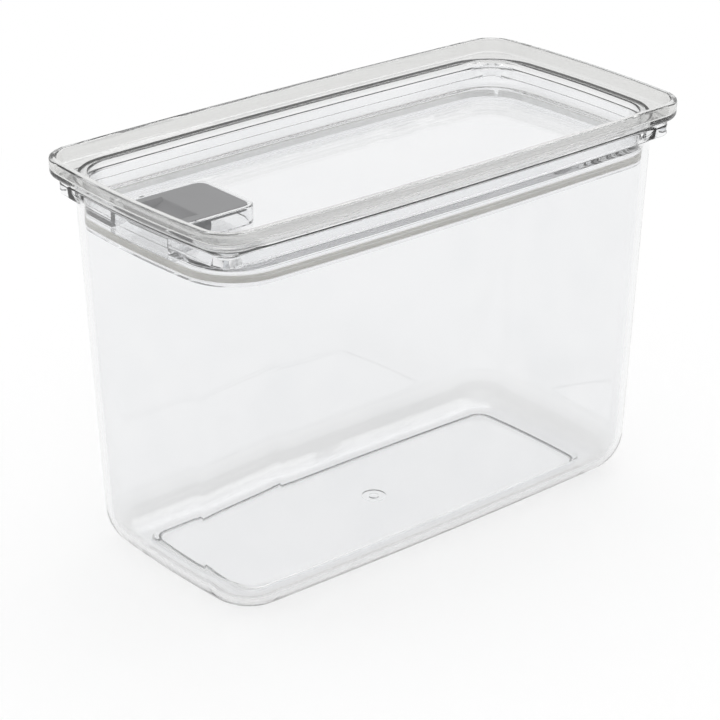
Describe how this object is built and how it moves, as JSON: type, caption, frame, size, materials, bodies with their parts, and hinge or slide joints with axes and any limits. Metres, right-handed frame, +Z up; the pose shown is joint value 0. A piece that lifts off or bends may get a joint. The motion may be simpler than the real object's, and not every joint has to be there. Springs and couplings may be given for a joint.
{
  "type": "pantry jar",
  "caption": "Clear rectangular storage canister with a clear push-in lid, a seal ring and a grey rocking vent flap with a finger scoop",
  "frame": {"origin": "on the ground under the middle of the jar", "axes": "X along the jar's length with the flap at -X, Y across its width, Z up"},
  "size_m": [0.212, 0.105, 0.1452],
  "materials": {
    "clear_body": "clear moulded plastic, polished",
    "clear_lid": "clear moulded plastic, polished",
    "seal_silicone": "translucent warm grey silicone",
    "flap_grey": "fine matt texture",
    "pin_grey": "smooth",
    "stopper_silicone": "warm grey silicone"
  },
  "bodies": {
    "container": {"container": "clear_body"},
    "lid": {"lid": "clear_lid", "seal_gasket": "seal_silicone", "flap_pin": "pin_grey"},
    "flap": {"vent_flap": "flap_grey", "vent_stopper": "stopper_silicone"}
  },
  "joints": [
    {"name": "lid_lift", "type": "slide", "parent": "container", "child": "lid", "axis": [0, 0, 1], "range_m": [0, 0.06]},
    {"name": "flap_tilt", "type": "hinge", "parent": "lid", "child": "flap", "pos_m": [-0.0856, 0, 0.1328], "axis": [0, -1, 0], "range_deg": [0, 45]}
  ]
}
